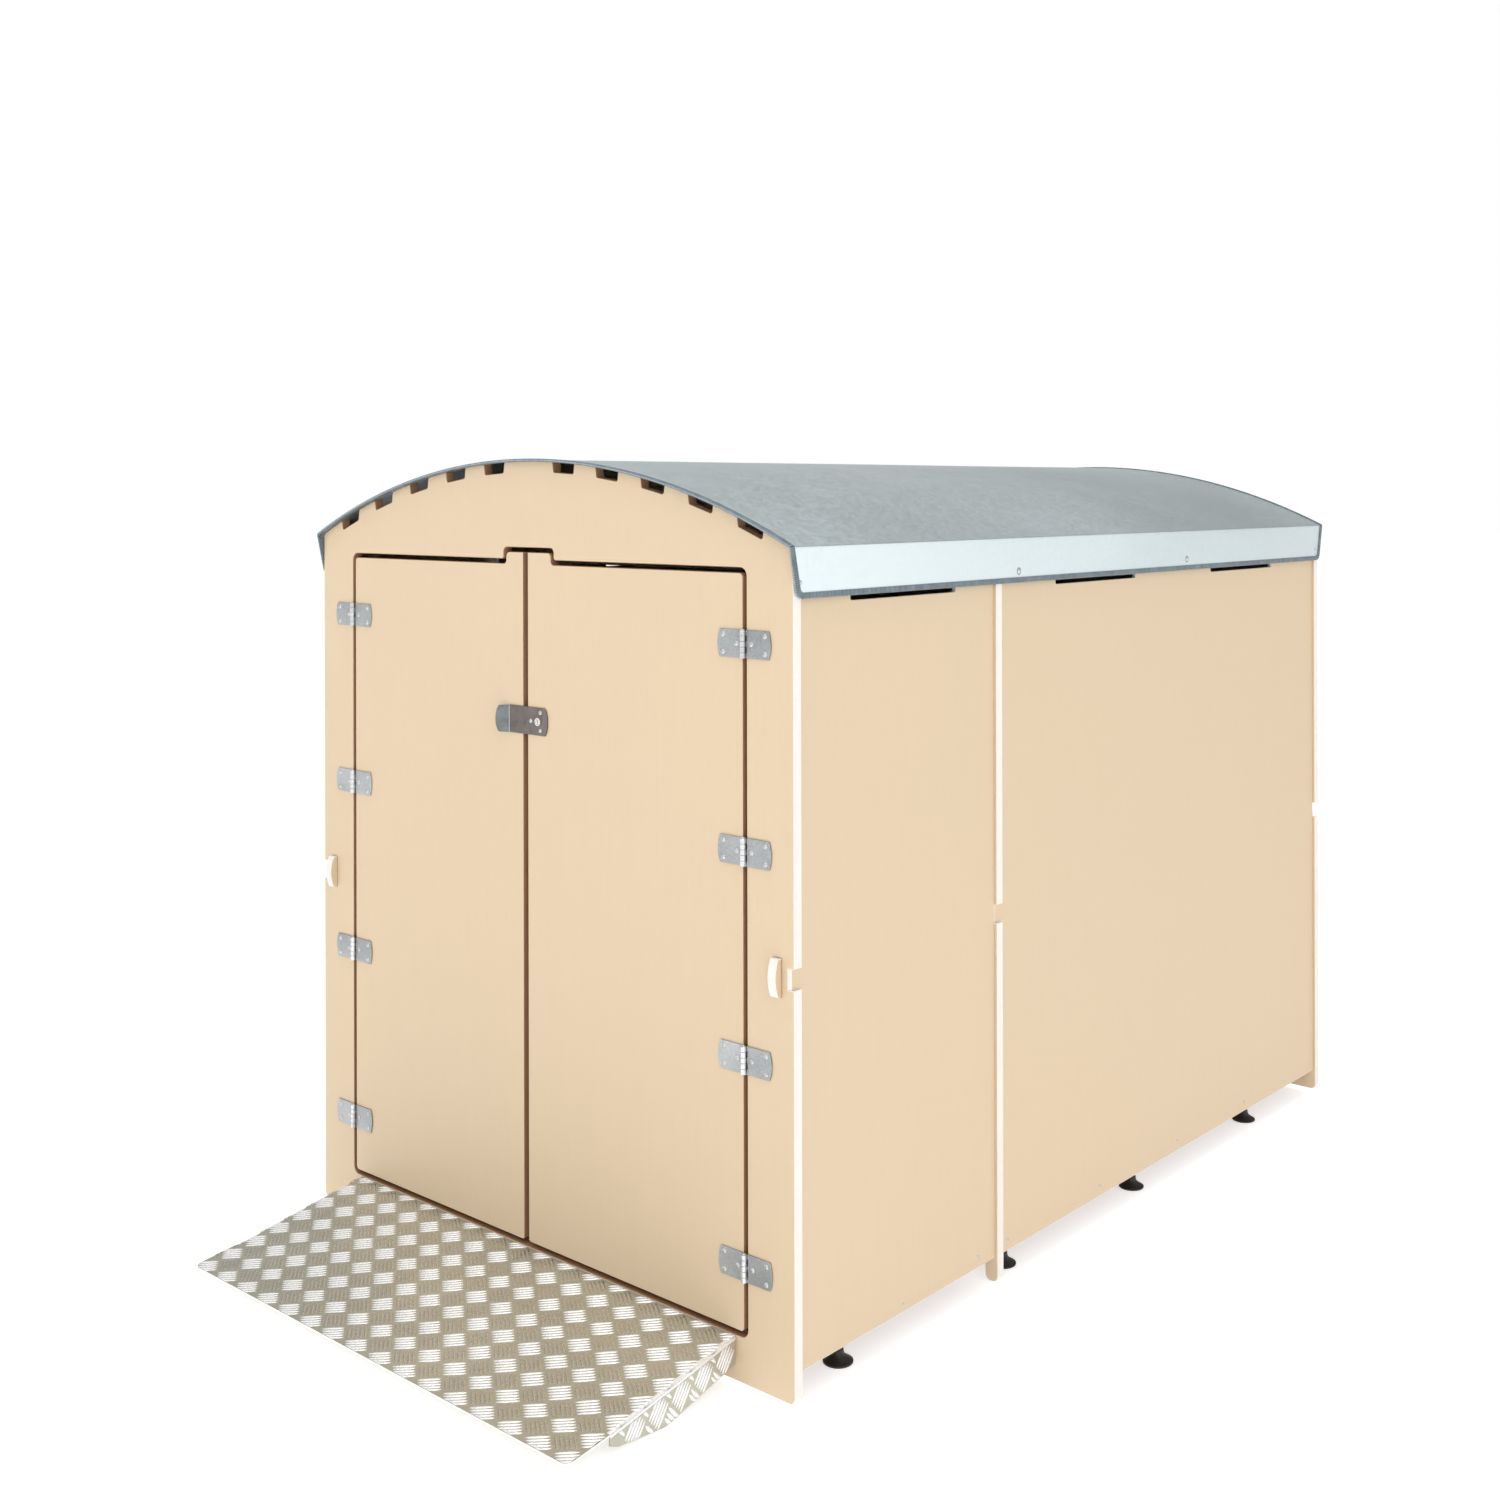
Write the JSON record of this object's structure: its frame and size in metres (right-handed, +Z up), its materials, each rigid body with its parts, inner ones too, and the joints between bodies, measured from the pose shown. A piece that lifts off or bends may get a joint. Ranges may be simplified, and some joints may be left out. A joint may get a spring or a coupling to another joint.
{
  "type": "calf hutch",
  "caption": "Knock-down panel animal hutch with an arched sheet roof, lockable double doors, a tread-plate ramp and levelling feet.",
  "frame": {"origin": "centre of the whole object's footprint, ramp included, on the ground", "axes": "+X to the right seen from the front, +Y from the doors to the rear, +Z up"},
  "size_m": [1.4838, 2.682, 1.7475],
  "materials": {
    "panel": "smooth tan film-faced plywood with pale cut edges",
    "floor_ply": "brown film-faced plywood",
    "galvanised": "galvanised sheet, soft sheen",
    "zinc": "zinc-plated steel",
    "tread_plate": "five-bar tread pattern",
    "edge_rubber": "ribbed edge channel",
    "foot_black": "matt black"
  },
  "bodies": {
    "shell": {"front_panel": "panel", "mid_rib": "panel", "rear_panel": "panel", "side_panel_front_left": "panel", "side_panel_front_right": "panel", "side_panel_rear_left": "panel", "side_panel_rear_right": "panel", "tie_rail_left": "panel", "tie_rail_right": "panel", "floor_front": "floor_ply", "floor_rear": "floor_ply", "roof_sheet": "galvanised", "roof_edge_trim": "edge_rubber", "hinge_left_1_frame_leaf": "zinc", "hinge_left_1_pin": "zinc", "hinge_left_2_frame_leaf": "zinc", "hinge_left_2_pin": "zinc", "hinge_left_3_frame_leaf": "zinc", "hinge_left_3_pin": "zinc", "hinge_left_4_frame_leaf": "zinc", "hinge_left_4_pin": "zinc", "hinge_right_1_frame_leaf": "zinc", "hinge_right_1_pin": "zinc", "hinge_right_2_frame_leaf": "zinc", "hinge_right_2_pin": "zinc", "hinge_right_3_frame_leaf": "zinc", "hinge_right_3_pin": "zinc", "hinge_right_4_frame_leaf": "zinc", "hinge_right_4_pin": "zinc"},
    "door_right": {"door_right": "panel", "hinge_right_1_door_leaf": "zinc", "hinge_right_2_door_leaf": "zinc", "hinge_right_3_door_leaf": "zinc", "hinge_right_4_door_leaf": "zinc", "latch_plate": "zinc", "lock_cylinder": "zinc"},
    "door_left": {"door_left": "panel", "hinge_left_1_door_leaf": "zinc", "hinge_left_2_door_leaf": "zinc", "hinge_left_3_door_leaf": "zinc", "hinge_left_4_door_leaf": "zinc"},
    "lock": {"lock_plug": "zinc", "lock_cam": "zinc"},
    "ramp": {"ramp": "tread_plate"},
    "foot_left_1": {"foot_pad_left_1": "foot_black", "foot_stem_left_1": "zinc"},
    "foot_left_2": {"foot_pad_left_2": "foot_black", "foot_stem_left_2": "zinc"},
    "foot_left_3": {"foot_pad_left_3": "foot_black", "foot_stem_left_3": "zinc"},
    "foot_left_4": {"foot_pad_left_4": "foot_black", "foot_stem_left_4": "zinc"},
    "foot_right_1": {"foot_pad_right_1": "foot_black", "foot_stem_right_1": "zinc"},
    "foot_right_2": {"foot_pad_right_2": "foot_black", "foot_stem_right_2": "zinc"},
    "foot_right_3": {"foot_pad_right_3": "foot_black", "foot_stem_right_3": "zinc"},
    "foot_right_4": {"foot_pad_right_4": "foot_black", "foot_stem_right_4": "zinc"}
  },
  "joints": [
    {"name": "door_right_swing", "type": "hinge", "parent": "shell", "child": "door_right", "pos_m": [0.6135, -0.9218, 0.8], "axis": [0, 0, 1], "range_deg": [0, 170]},
    {"name": "door_left_swing", "type": "hinge", "parent": "shell", "child": "door_left", "pos_m": [-0.6135, -0.9218, 0.8], "axis": [0, 0, 1], "range_deg": [-170, 0]},
    {"name": "lock_turn", "type": "hinge", "parent": "door_right", "child": "lock", "pos_m": [0.0345, -0.916, 1.199], "axis": [0, 1, 0], "range_deg": [0, 90]},
    {"name": "ramp_lift", "type": "hinge", "parent": "shell", "child": "ramp", "pos_m": [0, -0.92, 0.096], "axis": [-1, 0, 0], "range_deg": [0, 80]},
    {"name": "foot_left_1_level", "type": "slide", "parent": "shell", "child": "foot_left_1", "axis": [0, 0, -1], "range_m": [-0.008, 0.03]},
    {"name": "foot_left_2_level", "type": "slide", "parent": "shell", "child": "foot_left_2", "axis": [0, 0, -1], "range_m": [-0.008, 0.03]},
    {"name": "foot_left_3_level", "type": "slide", "parent": "shell", "child": "foot_left_3", "axis": [0, 0, -1], "range_m": [-0.008, 0.03]},
    {"name": "foot_left_4_level", "type": "slide", "parent": "shell", "child": "foot_left_4", "axis": [0, 0, -1], "range_m": [-0.008, 0.03]},
    {"name": "foot_right_1_level", "type": "slide", "parent": "shell", "child": "foot_right_1", "axis": [0, 0, -1], "range_m": [-0.008, 0.03]},
    {"name": "foot_right_2_level", "type": "slide", "parent": "shell", "child": "foot_right_2", "axis": [0, 0, -1], "range_m": [-0.008, 0.03]},
    {"name": "foot_right_3_level", "type": "slide", "parent": "shell", "child": "foot_right_3", "axis": [0, 0, -1], "range_m": [-0.008, 0.03]},
    {"name": "foot_right_4_level", "type": "slide", "parent": "shell", "child": "foot_right_4", "axis": [0, 0, -1], "range_m": [-0.008, 0.03]}
  ],
  "couplings": [
    {"joint": "door_left_swing", "follows": "door_right_swing", "ratio": -1}
  ]
}
